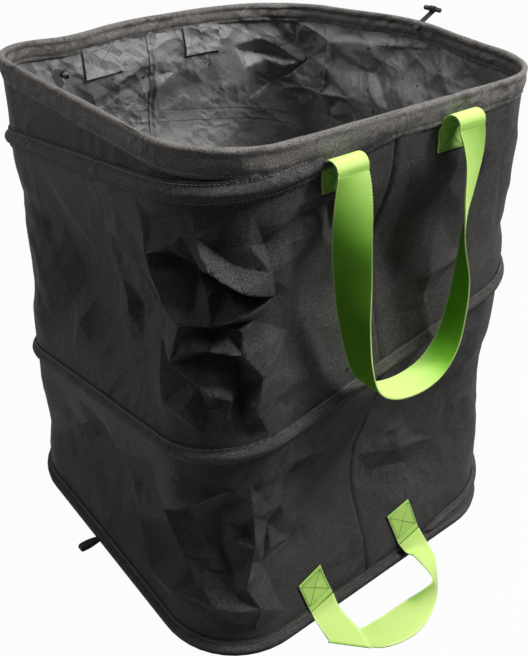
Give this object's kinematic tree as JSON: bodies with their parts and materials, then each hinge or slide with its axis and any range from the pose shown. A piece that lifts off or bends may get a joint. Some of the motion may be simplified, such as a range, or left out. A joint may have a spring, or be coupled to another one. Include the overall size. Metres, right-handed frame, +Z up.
{
  "type": "garden waste bag",
  "caption": "Square pop-up garden waste bag held open by a spring coil, with carrying handles, a tipping handle at the base and toggles that hold it flat.",
  "frame": {"origin": "centre of the base's underside, on the ground", "axes": "+Z up; -Y is the front with the tipping handle; -X and +X are the sides with the toggles"},
  "size_m": [0.6108, 0.672, 0.672],
  "materials": {
    "coated_fabric": "matt charcoal woven polyester with a coated inside",
    "sleeve_fabric": "matt warm black woven tape, stitched along its edges",
    "lining_fabric": "slightly glossy grey-black coated polyester",
    "lime_webbing": "ribbed lime green woven webbing with dark green stitching",
    "spring_wire": "bright spring steel wire, hidden in its sleeves",
    "crimped_steel": "plain crimped steel tube",
    "black_tape": "narrow black woven tape",
    "toggle_plastic": "glossy black moulded plastic"
  },
  "bodies": {
    "bag": {"base_panel": "coated_fabric", "base_hem": "sleeve_fabric", "base_hoop_wire": "spring_wire", "base_hoop_ferrule": "crimped_steel", "wall_left": "coated_fabric", "wall_right": "coated_fabric", "seam_binding_front": "sleeve_fabric", "seam_binding_back": "sleeve_fabric", "spiral_wire": "spring_wire", "spiral_channel": "sleeve_fabric", "spiral_top_cap": "crimped_steel", "spiral_bottom_cap": "crimped_steel", "lower_handle_end_left": "lime_webbing", "lower_handle_end_right": "lime_webbing", "lower_patch_left": "lining_fabric", "lower_patch_right": "lining_fabric"},
    "rim": {"rim_sleeve": "sleeve_fabric", "rim_hoop_wire": "spring_wire", "rim_hoop_ferrule": "crimped_steel", "front_handle_end_left": "lime_webbing", "front_handle_end_right": "lime_webbing", "back_handle_end_left": "lime_webbing", "back_handle_end_right": "lime_webbing", "front_patch_left": "lining_fabric", "front_patch_right": "lining_fabric", "back_patch_left": "lining_fabric", "back_patch_right": "lining_fabric"},
    "front_handle": {"front_handle_loop": "lime_webbing"},
    "back_handle": {"back_handle_loop": "lime_webbing"},
    "lower_handle": {"lower_handle_loop": "lime_webbing"},
    "left_toggle": {"toggle_tape_left": "black_tape", "toggle_bar_left": "toggle_plastic"},
    "right_toggle": {"toggle_tape_right": "black_tape", "toggle_bar_right": "toggle_plastic"},
    "left_loop": {"closure_loop_left": "black_tape"},
    "right_loop": {"closure_loop_right": "black_tape"}
  },
  "joints": [
    {"name": "collapse", "type": "slide", "parent": "bag", "child": "rim", "axis": [0, 0, 1], "range_m": [-0.58, 0], "stiffness_N_per_m": 60, "springref_m": 0.15, "deforming": ["wall_left", "wall_right", "seam_binding_front", "seam_binding_back", "spiral_wire", "spiral_channel", "spiral_top_cap", "spiral_bottom_cap", "lower_handle_end_left", "lower_handle_end_right", "lower_patch_left", "lower_patch_right", "front_handle_loop", "back_handle_loop"]},
    {"name": "front_handle_lift", "type": "hinge", "parent": "rim", "child": "front_handle", "pos_m": [-0.024, -0.2654, 0.6103], "axis": [-1, 0, 0], "range_deg": [0, 175]},
    {"name": "back_handle_lift", "type": "hinge", "parent": "rim", "child": "back_handle", "pos_m": [0, 0.2654, 0.6103], "axis": [1, 0, 0], "range_deg": [0, 175]},
    {"name": "lower_handle_lift", "type": "hinge", "parent": "bag", "child": "lower_handle", "pos_m": [-0.024, -0.2684, 0.0218], "axis": [-1, 0, 0], "range_deg": [0, 95]},
    {"name": "left_toggle_bend", "type": "hinge", "parent": "rim", "child": "left_toggle", "pos_m": [-0.2356, 0.02, 0.6478], "axis": [0, -1, 0], "range_deg": [-75, 88], "stiffness_Nm_per_rad": 0.02},
    {"name": "right_toggle_bend", "type": "hinge", "parent": "rim", "child": "right_toggle", "pos_m": [0.2451, -0.02, 0.6481], "axis": [0, 1, 0], "range_deg": [-90, 95], "stiffness_Nm_per_rad": 0.02},
    {"name": "left_loop_lift", "type": "hinge", "parent": "bag", "child": "left_loop", "pos_m": [-0.2742, 0.02, 0.007], "axis": [0, 1, 0], "range_deg": [0, 85]},
    {"name": "right_loop_lift", "type": "hinge", "parent": "bag", "child": "right_loop", "pos_m": [0.2742, -0.02, 0.007], "axis": [0, -1, 0], "range_deg": [0, 85]}
  ]
}
